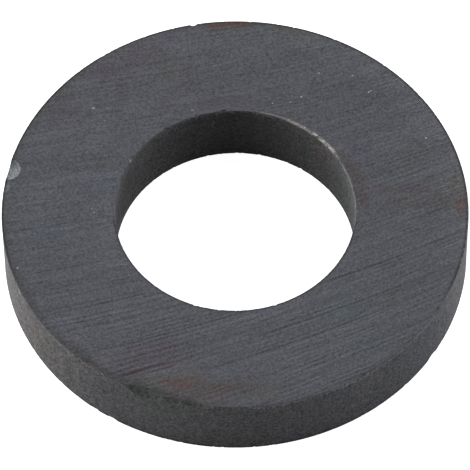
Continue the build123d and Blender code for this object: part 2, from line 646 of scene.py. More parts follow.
def surface(tree, colour, roughness, height, depth, specular):
    """Ends a material in the Principled shader, with a bump from a height, in millimetres deep.

    The specular level is one number all over, so it's set on the shader's own socket.
    """
    wires = {"Height": height, "Distance": depth * MM, "Strength": 1.0}
    bump = put(tree, "ShaderNodeBump", wires)
    wires = {"Base Color": colour, "Roughness": roughness, "Specular IOR Level": specular, "Normal": bump}
    shader = put(tree, "ShaderNodeBsdfPrincipled", wires)
    put(tree, "ShaderNodeOutputMaterial", {"Surface": shader})


# %% [markdown]
# ## The ground faces
#
# A face grinder carries the rings under a large cup wheel. Each grain on the wheel scores an arc,
# and because the ring moves on as the wheel turns, the arcs lie side by side, shifted, and don't
# share one centre. On this ring the arcs have a radius of 267 mm and cross it at 16 degrees.
#
# A wave texture would give even bands, and an image would not tile. Instead the arcs' own formula
# gives each spot two numbers: how far it lies across the marks and how far along them. Noise that
# is read with those two, short across and long along, then draws lines that follow the arcs.
#
# The arc with number k has its centre k to the side of the first arc's and k further up. A spot lies
# on the arc whose k solves a quadratic equation, and that k is how far it lies across the marks.

# %% Node group: across and along the grinding marks
WHEEL_RADIUS = 267.0
WHEEL_TURN = 16
arc_tree, given = new_tree(
    "Grinding arcs",
    "ShaderNodeTree",
    {"Spot": (0.0, 0.0, 0.0)},
    {"Across": 0.0, "Along": 0.0},
)
wires = {"Vector": given["Spot"], "Angle": math.radians(-WHEEL_TURN)}
turned = put(arc_tree, "ShaderNodeVectorRotate", wires, rotation_type="Z_AXIS")
along, rise, _ = split(turned)
half = along + rise - WHEEL_RADIUS
rest = along * along + rise * rise - rise * (2 * WHEEL_RADIUS)
across = (half + calc("SQRT", half * half - rest * 2.0)) * 0.5
close(arc_tree, Across=across, Along=along)

# %% [markdown]
# Some marks stand out from the rest, and the eye knows the ring by them. They are placed one by
# one, each by its distance across the marks and by where it starts and ends along them. A narrow
# one is a score with a faint light lip on each side. A wide one is a band, and a depth below
# nought makes it lighter than the rest.

# %% Node group: one deep score, and the list of them
score_tree, given = new_tree(
    "One score",
    "ShaderNodeTree",
    {"Across": 0.0, "Along": 0.0, "At": 0.0, "From": 0.0, "To": 1.0, "Width": 0.2, "Depth": 0.2},
    {"Shade": 0.0},
)
LIP = 0.35
off = calc("ABSOLUTE", given["Across"] - given["At"]) / given["Width"]
line = ramp(off, 1.0, 0.2) - ramp(off, 0.9, 1.3) * ramp(off, 2.2, 1.6) * LIP
since_start, before_end = given["Along"] - given["From"], given["To"] - given["Along"]
ends = ramp(since_start, -0.6, 1.4) * ramp(before_end, -0.6, 1.4)
close(score_tree, Shade=line * ends * given["Depth"])

# across, start and end along, width, and how much darker, or lighter below nought
SCORES = [
    (-23.4, -10, 23, 0.30, 0.22),
    (-21.35, -24, -14, 0.27, 0.20),
    (-21.35, -13, 25, 0.27, 0.09),
    (-20.65, -8, 25, 0.27, 0.12),
    (-15.5, 8, 28, 0.38, 0.22),
    (-22.7, -8, 19, 0.21, 0.14),
    (-16.2, -26, -5, 0.24, 0.19),
    (-9.5, -29, -14, 0.24, 0.19),
    (-30.2, -1, 15, 0.22, 0.16),
    (-20.6, -22, -15, 0.42, 0.22),
    (3.15, -30, -16, 0.20, 0.18),
    (-3.25, -30, -17, 0.19, 0.18),
    (16.7, -14, -1, 0.19, 0.17),
    (18.3, -22, -9, 0.20, 0.14),
    (11.8, -22, -11, 0.20, 0.12),
    (10.8, 18, 28, 0.22, 0.13),
    (28.0, 5, 11, 0.38, 0.14),
    (4.6, -30, -21, 0.20, 0.17),
    (-11.95, -28, -19, 0.22, 0.20),
    (-13.1, 17, 29, 0.22, 0.12),
    (-8.9, -29, -14, 0.22, 0.14),
    (22.9, -5, 5, 0.22, 0.14),
    (-17.3, -16, 28, 1.1, -0.06),
    (-19.7, 14, 27, 0.9, -0.06),
    (-15.7, 6, 29, 0.8, 0.05),
    (-24.3, -14, 20, 1.2, -0.04),
    (-26.6, -4, 18, 1.4, -0.04),
    (-20.8, -23, 25, 0.9, 0.05),
    (-11.0, -30, -18, 1.3, -0.06),
    (-9.0, -30, -15, 1.2, 0.05),
    (-4.3, -30, -16, 0.6, -0.05),
    (2.4, -31, -18, 0.7, -0.06),
    (4.3, -31, -22, 0.8, 0.05),
    (9.3, -24, -13, 0.9, -0.05),
    (-9.2, 14, 25, 1.0, -0.07),
    (-11.6, 12, 24, 1.2, -0.05),
    (-3.0, 24, 31, 1.4, -0.04),
    (-0.6, 16, 22, 1.2, 0.06),
    (24.6, -15, 6, 1.3, 0.05),
    (17.2, -6, 9, 0.9, 0.05),
    (21.3, -2, 13, 0.6, -0.05),
]
print(len(SCORES), "scores and bands on the top face")

# %% [markdown]
# Colour comes next. The grey is broken up by slow clouds, by rust and brown that grinding water left
# at the edges, and by faint maroon, purple, blue and greenish films where the wheel ran hot. Each
# such stain is a soft patch of one tint with a place, a length, a width and a turn. Pale and dark
# patches are laid the same way. A noise that runs along the grinding marks frays their borders, as
# on the real ones.

# %% Node group: one soft stain, and the list of them
NOUGHT = (0.0, 0.0, 0.0)
stain_tree, given = new_tree(
    "One stain",
    "ShaderNodeTree",
    {"Spot": NOUGHT, "Centre": NOUGHT, "Long way": (1.0, 0.0, 0.0), "Short way": (0.0, 1.0, 0.0)},
    {"Share": 0.0},
)
local = given["Spot"] - given["Centre"]
lengthwise = calc("DOT_PRODUCT", local, given["Long way"])
sideways = calc("DOT_PRODUCT", local, given["Short way"])
reach = calc("SQRT", lengthwise * lengthwise + sideways * sideways)
close(stain_tree, Share=ramp(reach, 1.15, 0.3))


def stain_share(spot, x, y, half_length, half_width, turn):
    """How much one stain covers the spot, from 0 to 1."""
    turn = math.radians(turn)
    wires = {
        "Spot": spot,
        "Centre": Vector((x, y, 0)),
        "Long way": Vector((math.cos(turn), math.sin(turn), 0)) / half_length,
        "Short way": Vector((-math.sin(turn), math.cos(turn), 0)) / half_width,
    }
    return put(spot.tree, "ShaderNodeGroup", wires, node_tree=stain_tree)


# A tint multiplies the colour under it, so 1 leaves a channel as it is.
ORANGE = (1.30, 0.76, 0.60, 1.0)
RUST = (1.03, 0.87, 0.72, 1.0)
RED_RUST = (1.03, 0.79, 0.82, 1.0)
BROWN = (0.93, 0.83, 0.74, 1.0)
OLIVE = (1.0, 0.98, 0.80, 1.0)
MAROON = (0.93, 0.845, 0.86, 1.0)
DEEP_MAROON = (0.58, 0.44, 0.44, 1.0)
PINK = (1.05, 0.79, 0.88, 1.0)
PURPLE = (0.97, 0.90, 1.02, 1.0)
BLUE = (0.94, 1.0, 1.13, 1.0)
CYAN = (0.93, 1.06, 1.04, 1.0)
PALE = (1.17, 1.17, 1.17, 1.0)
DARK = (0.66, 0.65, 0.62, 1.0)
UMBER = (0.82, 0.75, 0.70, 1.0)
GREENISH = (0.985, 1.0, 0.973, 1.0)
# tint, x, y, half length, half width, turn, strength
STAINS = [
    (ORANGE, -0.3, 30.4, 3.8, 0.8, 0, 0.75),
    (UMBER, -1.0, 30.5, 6.5, 1.2, 2, 0.8),
    (OLIVE, 9.0, 29.0, 5.5, 1.1, -17, 0.6),
    (CYAN, 10.5, 27.4, 4.0, 0.8, -16, 0.7),
    (PURPLE, -8.5, 28.9, 1.9, 1.1, 0, 0.9),
    (MAROON, -12.0, 25.4, 4.2, 2.2, 20, 1.0),
    (MAROON, -17.4, 22.8, 4.2, 1.7, 14, 1.0),
    (MAROON, -23.6, 17.6, 3.6, 3.4, 0, 0.9),
    (MAROON, -15.0, 19.2, 1.1, 3.0, 0, 0.7),
    (OLIVE, -9.0, 23.2, 1.5, 2.6, 0, 0.55),
    (MAROON, -6.5, 21.8, 1.2, 3.4, 0, 0.7),
    (MAROON, -9.0, 17.6, 1.4, 1.5, 0, 0.9),
    (MAROON, -1.2, 17.6, 6.2, 1.5, 0, 1.0),
    (PURPLE, 11.0, 19.5, 0.9, 1.8, 0, 0.7),
    (CYAN, -1.2, 27.0, 2.2, 0.7, 0, 0.7),
    (GREENISH, 23.5, 5.0, 9.0, 9.0, 0, 1.0),
    (UMBER, 16.4, 3.6, 5.0, 1.3, 98, 1.0),
    (UMBER, 14.9, 7.3, 3.0, 0.8, 118, 0.9),
    (RED_RUST, 17.1, 1.2, 1.9, 0.7, 90, 0.7),
    (PURPLE, 16.7, 9.2, 2.0, 1.8, 100, 0.8),
    (MAROON, 21.0, 3.1, 5.0, 0.8, 6, 0.9),
    (RED_RUST, 25.0, 2.95, 1.5, 0.65, 0, 1.0),
    (RUST, 22.0, 1.3, 2.9, 1.7, 0, 0.35),
    (MAROON, 25.2, 1.0, 1.7, 1.8, 0, 0.8),
    (BROWN, 27.6, 0.8, 2.0, 1.4, 0, 0.9),
    (ORANGE, 30.1, 0.4, 1.5, 1.1, 90, 0.6),
    (RED_RUST, 30.1, -0.9, 0.9, 0.8, 90, 0.8),
    (OLIVE, 29.6, 3.4, 2.2, 1.7, 95, 0.7),
    (CYAN, 21.2, 4.5, 1.4, 0.65, 0, 0.8),
    (MAROON, -11.6, -23.4, 7.4, 3.0, 12, 0.9),
    (MAROON, -10.0, -21.4, 3.2, 2.2, 10, 0.45),
    (MAROON, -13.4, -26.3, 1.8, 0.9, 10, 1.0),
    (DEEP_MAROON, -13.6, -25.35, 2.5, 0.52, 8, 1.0),
    (PINK, -9.3, -24.5, 1.7, 0.5, 8, 1.0),
    (OLIVE, -11.2, -26.5, 2.2, 1.1, 8, 0.8),
    (RUST, -7.8, -26.9, 3.9, 1.5, 6, 1.0),
    (RED_RUST, -8.6, -26.9, 2.1, 0.42, 4, 1.0),
    (RED_RUST, -7.0, -27.6, 2.0, 0.42, 4, 1.0),
    (BROWN, -4.3, -28.2, 5.4, 2.0, 4, 1.0),
    (BROWN, -1.2, -28.0, 3.4, 1.0, 4, 0.8),
    (BROWN, -3.2, -29.8, 4.2, 0.9, -4, 0.6),
    (DARK, -4.0, 16.4, 4.5, 0.8, 8, 0.25),
    (MAROON, 2.2, -28.0, 2.4, 1.1, 5, 0.7),
    (PURPLE, 6.4, -27.9, 2.2, 1.3, 5, 0.8),
    (OLIVE, 3.8, -28.8, 3.0, 1.5, 6, 0.8),
    (DARK, -12.0, -27.7, 4.2, 1.0, -24, 1.0),
    (DARK, -16.4, -25.8, 3.8, 0.7, -33, 1.0),
    (DARK, -8.4, -29.3, 5.6, 0.9, -16, 1.0),
    (DARK, -19.1, -23.8, 1.3, 0.45, -39, 1.0),
    (UMBER, -20.6, -22.3, 4.5, 1.0, -42, 0.8),
    (DARK, -30.5, -4.4, 0.8, 5.5, 8, 0.35),
    (PALE, -17.2, 0.0, 2.6, 6.5, 0, 0.4),
    (BLUE, -17.4, 4.4, 2.7, 1.7, 10, 0.7),
    (CYAN, -24.6, -3.2, 3.6, 1.4, 18, 0.6),
    (CYAN, -29.4, 4.0, 1.1, 1.2, 0, 0.9),
    (CYAN, 13.4, -16.2, 4.0, 2.2, 24, 0.7),
    (CYAN, 16.2, -22.0, 4.0, 2.0, 24, 0.6),
    (PALE, 5.0, -16.8, 5.0, 1.6, 16, 0.5),
    (BLUE, 3.0, -16.6, 2.0, 0.8, 10, 0.8),
    (DARK, -23.0, 3.6, 0.75, 0.45, 0, 1.0),
    (DARK, -28.3, -3.1, 0.6, 0.35, 0, 1.0),
    (DARK, 28.3, -12.0, 0.4, 0.4, 0, 1.0),
    (DARK, 0.0, 30.6, 9.0, 0.8, 0, 0.35),
    (DARK, -8.5, 29.6, 3.0, 1.0, 14, 0.3),
    (DARK, -21.0, -11.0, 6.5, 4.0, 14, 0.12),
    (DARK, -15.0, -15.0, 4.0, 3.0, 16, 0.15),
    (UMBER, 30.2, 0.6, 1.5, 0.9, 90, 0.4),
    (PALE, -24.0, 1.5, 6.0, 4.5, 12, 0.3),
    (PALE, -16.6, -3.0, 2.2, 3.5, 0, 0.3),
    (PALE, 11.0, 20.5, 6.0, 3.2, 15, 0.28),
    (PALE, 20.5, 21.0, 4.0, 3.0, -40, 0.25),
    (PALE, 29.6, 9.0, 1.4, 5.0, 14, 0.3),
]
print(len(STAINS), "stains and patches on the top face")

# %% [markdown]
# An edge is handled more than the faces beside it. Round the back of the rim and along the front of the
# bore a dark band with a darker last line is painted: partly dirt that nothing rubs off, partly painted
# shade where the rounded edge turns from the lamps. At both edges below, the band is painted shade where
# the ring meets the sheet. The rest is rubbed clean, and here and there it's pale: partly worn and freshly
# broken, partly a painted highlight where the edge catches the light. The three finishes all meet at an
# edge, so one function paints all this on each of them from the same list, and a pale stretch runs on over
# the chips in it without a seam.

# %% Helper: wear, painted shade and painted highlights along the edges
# edge, start and end angle, reach in from the edge, colour, strength
# the pale stretches are partly wear and fresh breaks, partly painted highlight where the edge catches the
# light
EDGE_WEAR_AND_HIGHLIGHTS = [
    ("bore", 30, 78, 0.30, (0.16, 0.155, 0.15), 1.0),
    ("bore", 34, 51, 0.46, (0.36, 0.35, 0.33), 1.0),
    ("bore", 50, 64, 0.38, (0.34, 0.33, 0.31), 1.0),
    ("bore", -12, 32, 0.12, (0.15, 0.15, 0.145), 0.8),
    ("bore", 82, 96, 0.20, (0.14, 0.14, 0.14), 0.5),
    ("rim", 252, 272, 0.22, (0.085, 0.085, 0.085), 0.5),
    ("rim", 340, 368, 0.24, (0.16, 0.17, 0.17), 0.5),
    ("rim", 20, 52, 0.24, (0.15, 0.155, 0.155), 0.4),
]


# where a dark band of dirt and painted shade lies on the upper edge (start and end angle), and how far in
# the band and its darker last line of painted shade start to fade and are gone
EDGE_DIRT_AND_PAINTED_SHADE = {
    "rim": (-24, 198, (0.54, 0.34), (0.34, 0.14)),
    "bore": (184, 350, (0.50, 0.30), (0.22, 0.10)),
}
# the band's colour is dirt and painted shade, and the last line's is painted shade
DIRT_AND_PAINTED_SHADE_COLOUR, PAINTED_EDGE_SHADE_COLOUR = grey(0.018), grey(0.012)


def rub_and_shade_edges(here, colour, darkness):
    """Darkens the colour at an edge with dirt and painted shade, and adds pale stretches of wear and
    painted highlight.
    """
    gaps = {"rim": here.from_edge(outer_radius), "bore": here.from_edge(bore_radius)}
    patchy = noise(here.mm + Vector((3, 0, 0)), 0.9, 2.0) * 0.16
    below = 1.0 - here.top
    reach_of_dark_band = 1.0 + below * 0.15
    dirt_and_shade_band, last = [], []
    for edge, (start, end, band_fade, line_fade) in EDGE_DIRT_AND_PAINTED_SHADE.items():
        dark_stretch = calc("MAXIMUM", here.between(start, end, 8.0), below)
        dirt_and_shade_band.append(ramp((gaps[edge] + patchy) / reach_of_dark_band, *band_fade) * dark_stretch)
        last.append(ramp(gaps[edge], *line_fade) * dark_stretch)
    # paint the dark band (dirt and painted shade) and its last line (painted shade)
    colour = mix_colour(calc("MAXIMUM", *dirt_and_shade_band) * darkness, colour, DIRT_AND_PAINTED_SHADE_COLOUR)
    colour = mix_colour(calc("MAXIMUM", *last) * darkness * 1.6, colour, PAINTED_EDGE_SHADE_COLOUR)
    crumbly = noise(here.mm + Vector((0, 9, 0)), 2.2, 2.0, 0.6)
    for edge, start, end, reach, pale, strength in EDGE_WEAR_AND_HIGHLIGHTS:
        near = ramp(gaps[edge], reach, reach * 0.45) * here.between(start, end) * here.top
        # the stronger the wear or highlight, the less of it is broken up
        threshold = 0.58 - strength * 0.24
        near = near * ramp(crumbly, threshold, threshold + 0.13)
        colour = mix_colour(near * min(1.0, strength * 1.2), colour, (*pale, 1.0))
    return colour


print(len(EDGE_WEAR_AND_HIGHLIGHTS), "worn stretches of edge")

# %% [markdown]
# ### Putting the ground face together
#
# The marks are of three kinds. Short dark strokes and pale glints, which a threshold cuts out of the
# noise, lie all over the face. An even comb, 0.7 mm from line to line, is left by the wheel's grains
# as they come round again, and shows most at the front and the right. Slow bands make the face a
# little lighter and darker across the marks. The single scores lie over these, and the grain of the
# ferrite itself goes over all of them and is stronger than any.
#
# All of this makes one number, the shade, which is 1 where the plain grey isn't changed.

# %% Material: ground ferrite, its marks
COMB_STEP = 0.70
ground, tree = new_material("ground_ferrite")
here = Place(tree)
across = put(tree, "ShaderNodeGroup", {"Spot": here.mm}, "Across", node_tree=arc_tree)
along = Wire(tree, across.socket.node.outputs["Along"])
# the height counts too, so that the bottom face gets marks of its own
layer = here.z * 0.731


def lines(per_mm, length, shift, detail=0.0):
    """Noise drawn out along the grinding marks."""
    return noise(join(tree, across * per_mm, along / length, layer + shift), 1.0, detail)


orderly = calc("MAXIMUM", ramp(here.y, -10.0, -18.0), ramp(here.x, 14.0, 20.0) * 0.5)
strokes = ramp(lines(1.8, 10.0, 3.0), 0.56, 0.70) * 0.07 + ramp(lines(2.6, 3.6, 23.0), 0.56, 0.70) * 0.06
glints = ramp(lines(2.1, 5.0, 31.0), 0.57, 0.70) * 0.14
sway = lines(0.22, 40.0, 41.0) * 2.4 + lines(0.8, 5.0, 45.0) * 0.6
in_places = ramp(lines(0.5, 6.0, 51.0), 0.35, 0.65)
comb = calc("SINE", (across / COMB_STEP + sway) * (2 * math.pi))
comb = comb * (0.03 + in_places * (0.05 + orderly * 0.16))
bands = lines(0.33, 45.0, 17.0, 2.0) - 0.5
clouds = noise(here.mm + Vector((0, 0, 40)), 0.11, 2.0) - 0.5
grain = noise(join(tree, across * 4.3, along * 3.2, layer + 61.0), 1.0, 0.3, 0.6) - 0.5
specks = ramp(noise(here.mm + Vector((50, 0, 0)), 3.6, 0.0), 0.74, 0.82)
shade = 1.0 - strokes + glints + comb + bands * 0.36 + clouds * 0.30 + grain * 1.50 + specks * 0.4
print("ground ferrite, marks:", len(tree.nodes), "nodes")

# %% Ground ferrite: the single scores
# The list's widths and depths were judged on a blurred picture. These two make them crisp again.
NARROWED, DEEPENED = 0.65, 1.65
scored = None
for at, start, end, wide, depth in SCORES:
    wires = {"Across": across, "Along": along, "At": at, "From": float(start), "To": float(end)}
    wires |= {"Width": wide * NARROWED, "Depth": depth * DEEPENED}
    one = put(tree, "ShaderNodeGroup", wires, node_tree=score_tree)
    scored = one if scored is None else scored + one
# a score is cut deeper in some places than in others
wander = noise(join(tree, across * 0.4, along * 0.25, layer), 1.0, 1.0)
scored = scored * here.top * ramp(wander, 0.3, 0.6, 0.5, 1.15)
shade = calc("MAXIMUM", shade * (1.0 - scored), 0.2)
print("ground ferrite, with its scores:", len(tree.nodes), "nodes")

# %% [markdown]
# The grey leans to blue. A trace of coloured noise keeps it from being one flat hue. Towards the rim
# the face changes tone over longer stretches: browned at the back and the left, dingy at the front
# left, rubbed bright at the back right, and dull at the front. The stains go over that, and the
# edges' wear, painted shade and painted highlights come last.

# %% Ground ferrite: colour and stains
# where the tone starts and is full, start and end angle, soft ends, strength, tint
RIM_TONES = [
    (29.3, 30.6, 74, 212, 8.0, 0.8, (0.91, 0.90, 0.83, 1.0)),
    (29.4, 30.7, 196, 234, 6.0, 1.0, (0.80, 0.78, 0.76, 1.0)),
    (26.4, 28.6, -12, 74, 8.0, 1.0, (1.14, 1.13, 1.12, 1.0)),
    (30.0, 30.7, 254, 332, 10.0, 1.0, (0.86, 0.86, 0.86, 1.0)),
]
GROUND_GREY = grey(0.0672, -0.031, 0.155)
colour = toned(GROUND_GREY, shade)
hue = noise(join(tree, across * 0.4, along * 0.2, layer), 1.0, 1.0, out="Color")
colour = mix_colour(0.035, colour, hue, "OVERLAY")
for inner, outer, start, end, soft, strength, tint in RIM_TONES:
    toned_part = ramp(here.radius, inner, outer) * here.between(start, end, soft) * here.top
    colour = mix_colour(toned_part * strength, colour, tint, "MULTIPLY")
# the three channels of a coloured noise push the spot about, and that frays the stains
ragged = noise(join(tree, across * 0.9, along * 0.3, layer), 1.0, 3.0, out="Color")
push = put(tree, "ShaderNodeVectorMath", {0: ragged, 1: (0.5, 0.5, 0.5)}, operation="SUBTRACT")
frayed = here.mm + push * 2.4
for tint, x, y, half_length, half_width, turn, strength in STAINS:
    share = stain_share(frayed, x, y, half_length, half_width, turn)
    colour = mix_colour(share * here.top * strength, colour, tint, "MULTIPLY")
# dirt and painted shade at the edges, and pale stretches of wear and painted highlight
colour = rub_and_shade_edges(here, colour, darkness=0.50)
height = grain * 0.5 + glints - strokes + comb
surface(tree, colour, roughness=0.60 + grain * 0.2, height=height, depth=0.014, specular=0.2)
print("ground ferrite:", len(tree.nodes), "nodes")

# %% [markdown]
# ## The kiln skin
#
# The walls were never ground. They keep the skin of the kiln: matte, with a grain like fine sandpaper,
# cloudy patches a few millimetres wide, and soft upright streaks from the die. Noise at a few sizes is
# enough here, because the eye finds no order in it. A bump with a rough shader kills the shine, as on
# unglazed pottery.
# The bore's wall is painted darker than the rim's, as painted shade inside the hole. Single marks follow,
# then pale lines under the top edges, which are painted highlights, and slow painted shade and tint round
# the walls, each placed by its wall, angle and height.

# %% The marks, painted highlights and painted shade on the walls
# tint, wall, angle, height, half length round, half height, strength
WALL_MARKS_AND_PAINTED_LIGHT = [
    ((2.3, 2.3, 2.2, 1), "rim", 202.8, 9.3, 0.55, 0.35, 0.9),
    ((3.2, 3.0, 3.2, 1), "bore", 99.7, 7.3, 0.20, 0.75, 0.9),
    ((1.9, 1.5, 1.6, 1), "bore", 40.0, 9.3, 0.90, 0.35, 0.8),
    ((1.20, 0.98, 0.88, 1), "bore", 46.0, 7.6, 2.8, 1.8, 0.55),
    ((0.92, 1.04, 0.95, 1), "bore", 22.0, 6.0, 3.5, 4.0, 0.7),
    # this one is painted shade on the bore's wall, left of its back
    ((0.74, 0.74, 0.74, 1), "bore", 163.0, 6.0, 5.0, 8.0, 0.9),
    ((0.90, 0.97, 0.90, 1), "rim", 252.0, 7.6, 6.5, 2.0, 0.8),
    # these five are slow painted shade and tint round the rim wall, over its whole height
    ((1.02, 0.98, 0.91, 1), "rim", 212.0, 5.0, 9.0, 7.0, 0.9),
    ((0.91, 0.92, 0.96, 1), "rim", 313.0, 5.0, 19.0, 14.0, 1.0),
    ((0.91, 0.91, 0.92, 1), "rim", 240.0, 5.0, 6.5, 14.0, 1.0),
    ((0.93, 0.93, 0.95, 1), "rim", 288.0, 5.0, 6.5, 14.0, 1.0),
    ((0.90, 0.93, 0.95, 1), "rim", 326.0, 5.0, 5.0, 14.0, 1.0),
    # these pale lines just under the top edges are painted highlights where the edge catches the light
    ((1.60, 1.57, 1.55, 1), "rim", 261.0, 10.0, 4.6, 0.55, 1.0),
    ((1.75, 1.73, 1.73, 1), "rim", 279.0, 9.9, 6.0, 0.60, 1.0),
    ((1.85, 1.85, 1.85, 1), "rim", 299.0, 9.85, 6.5, 0.60, 1.0),
    ((1.40, 1.40, 1.40, 1), "rim", 319.0, 9.75, 5.5, 0.65, 1.0),
    ((1.25, 1.20, 1.16, 1), "rim", 222.0, 9.8, 5.0, 0.36, 1.0),
    ((2.1, 1.85, 1.75, 1), "rim", 231.0, 9.9, 1.0, 0.28, 1.0),
    ((1.35, 1.33, 1.30, 1), "rim", 238.0, 9.9, 2.6, 0.24, 1.0),
    ((1.28, 1.28, 1.28, 1), "bore", 102.0, 9.8, 14.0, 1.0, 1.0),
    ((1.85, 1.86, 1.82, 1), "bore", 86.0, 10.0, 11.0, 0.42, 1.0),
    ((2.0, 2.0, 1.92, 1), "bore", 16.0, 9.85, 5.5, 0.46, 1.0),
]
print(len(WALL_MARKS_AND_PAINTED_LIGHT), "marks on the walls")

# %% Material: kiln skin
skin, tree = new_material("kiln_skin")
here = Place(tree)
# the way round the wall in millimetres, as if it were rolled out flat
round_way = here.angle * (math.pi / 180) * here.radius
sand = noise(here.mm, 2.9, 1.0, 0.6) - 0.5
blotch = noise(here.mm + Vector((0, 0, 7)), 0.8, 2.0) - 0.5
upright = noise(join(tree, round_way * 0.9, here.z * 0.12, 5.0), 1.0, 2.0) - 0.5
specks = ramp(noise(here.mm + Vector((70, 0, 0)), 2.6, 0.0), 0.70, 0.80)
on_rim = ramp(here.radius, 22.0, 24.0)
mottled = (noise(here.mm + Vector((0, 0, 27)), 1.7, 1.0) - 0.5) * here.between(192, 240, 8.0)
shade = 1.0 + sand * 2.2 + mottled * 0.9 + blotch * 0.65 + upright * 0.25 + specks * 0.6
shade = calc("MAXIMUM", shade, 0.2)
SKIN_GREY = grey(0.114, 0.0, 0.045)
# the bore's wall is painted darker than the rim's: painted shade inside the hole
colour = toned(SKIN_GREY, shade * (0.79 + on_rim * 0.17))
rolled = join(tree, round_way + blotch * 1.5, here.z + sand * 1.5, 0.0)
for tint, wall, angle, height, half_length, half_height, strength in WALL_MARKS_AND_PAINTED_LIGHT:
    edge = outer_radius if wall == "rim" else bore_radius
    share = stain_share(rolled, math.radians(angle) * edge, height, half_length, half_height, 0)
    share = share * (on_rim if wall == "rim" else 1.0 - on_rim)
    colour = mix_colour(share * strength, colour, tint, "MULTIPLY")
# dirt and painted shade at the edges, and pale stretches of wear and painted highlight
colour = rub_and_shade_edges(here, colour, darkness=0.50)
height = sand + blotch * 0.4
surface(tree, colour, roughness=0.88 + sand * 0.1, height=height, depth=0.05, specular=0.12)
print("kiln skin:", len(tree.nodes), "nodes")

# %% [markdown]
# ## Broken ferrite
#
# A fresh break is paler than the rest, because its grains have never been rubbed down and scatter
# the light. Old breaks have filled with dirt and hardly show. One material does for all of them:
# a crumb on an edge is grey, the torn-out grains on the face are nearly white, and each large break
# has its own colour within a certain reach.

# %% Material: broken ferrite
# edge, angle, inner and outer reach, colour
BREAKS = [
    (outer_radius, 172.6, 1.0, 1.5, grey(0.066, -0.06, 0.08)),
    (outer_radius, 167.1, 1.80, 2.00, grey(0.136, -0.06, 0.05)),
    (outer_radius, 231.6, 0.9, 1.2, (0.100, 0.085, 0.072, 1.0)),
    (outer_radius, 252.5, 5.6, 7.4, grey(0.068, -0.03, 0.0)),
    (outer_radius, 327.8, 1.0, 1.4, grey(0.085, -0.02, 0.04)),
    (bore_radius, 148.6, 0.8, 1.1, grey(0.125)),
]
broken, tree = new_material("broken_ferrite")
here = Place(tree)
crystal = noise(here.mm, 3.0, 1.0, 0.6) - 0.5
cloud = noise(here.mm, 1.1, 2.0) - 0.5
shade = calc("MAXIMUM", 1.0 + crystal * 2.6 + cloud * 0.8, 0.25)
edge_gap = calc("MINIMUM", here.from_edge(outer_radius), here.from_edge(bore_radius))
CRUMB_GREY, PIT_GREY = grey(0.088, -0.01, 0.03), grey(0.28, -0.02, 0.0)
colour = mix_colour(ramp(edge_gap, 0.7, 1.1), CRUMB_GREY, PIT_GREY)
for edge, angle, inner, outer, tint in BREAKS:
    turn = math.radians(angle)
    share = here.near(edge * math.cos(turn), edge * math.sin(turn), thickness, inner, outer)
    colour = mix_colour(share, colour, tint)
# dirt and painted shade at the edges, and pale stretches of wear and painted highlight
colour = rub_and_shade_edges(here, toned(colour, shade), darkness=0.60)
height = crystal + cloud * 0.5
surface(tree, colour, roughness=0.70 + crystal * 0.2, height=height, depth=0.03, specular=0.2)
print("broken ferrite:", len(tree.nodes), "nodes")

# %% [markdown]
# ## Running the tree
#
# The points' own mesh carries the modifier. Its inputs are set by identifier before the first
# evaluation. The evaluated result is then copied to a plain mesh, because a modifier that stays
# live could give the exporter another shape.

# %% The finished piece
maker = bpy.data.objects.new("ring_maker", chip_points)
bpy.context.scene.collection.objects.link(maker)
modifier = maker.modifiers.new("Chipped ring", "NODES")
modifier.node_group = chipped_tree
chosen = {
    "First pit": first_pit,
    "Outer radius": outer_radius * MM,
    "Bore radius": bore_radius * MM,
    "Thickness": thickness * MM,
    "Edge radius": edge_break * MM,
    "Ground face": ground,
    "Kiln skin": skin,
    "Broken face": broken,
}
for socket in chipped_tree.interface.items_tree:
    if socket.in_out == "INPUT" and socket.name in chosen:
        modifier[socket.identifier] = chosen[socket.name]
depsgraph = bpy.context.evaluated_depsgraph_get()
mesh = bpy.data.meshes.new_from_object(maker.evaluated_get(depsgraph))
mesh.name = "ferrite_ring"
bpy.data.objects.remove(maker)
magnet = bpy.data.objects.new("ferrite_ring", mesh)
bpy.context.scene.collection.objects.link(magnet)
print("ring made with", len(chosen), "inputs set, before cleaning", len(mesh.vertices), "points")

# %% [markdown]
# A Boolean can leave points that lie on each other and faces with no area. They are merged away, and
# the mesh is tested for open edges. Smooth shading suits the walls, but the ring's edges and the
# borders of the chips have to stay sharp, so every edge above a small angle is marked.

# %% Cleaning and shading
SAME_PLACE = 1e-7
SHARP_FROM = 14
work = bmesh.new()
work.from_mesh(mesh)
bmesh.ops.remove_doubles(work, verts=work.verts, dist=SAME_PLACE)
bmesh.ops.dissolve_degenerate(work, edges=work.edges, dist=SAME_PLACE)
open_edges = sum(1 for e in work.edges if not e.is_manifold)
volume = work.calc_volume(signed=True) / MM**3
work.to_mesh(mesh)
work.free()
mesh.shade_smooth()
mesh.set_sharp_from_angle(angle=math.radians(SHARP_FROM))
mesh.calc_loop_triangles()
by_finish = np.bincount([p.material_index for p in mesh.polygons])
print("faces", len(mesh.polygons), "triangles", len(mesh.loop_triangles), "by finish", by_finish)
print("materials", [m.name if m else None for m in mesh.materials])
print("open or odd edges", open_edges, "volume %.1f mm3" % volume)

# %% [markdown]
# ## A flat map of the surface
#
# The exporter paints the materials onto a flat map. It can unwrap a mesh by itself, but a ring with
# hundreds of chips falls into hundreds of scraps. A ring is easy to unwrap by rule: each face is
# seen from straight above or below, and each wall is rolled out. A chip's faces go with whichever
# of the two they face more.

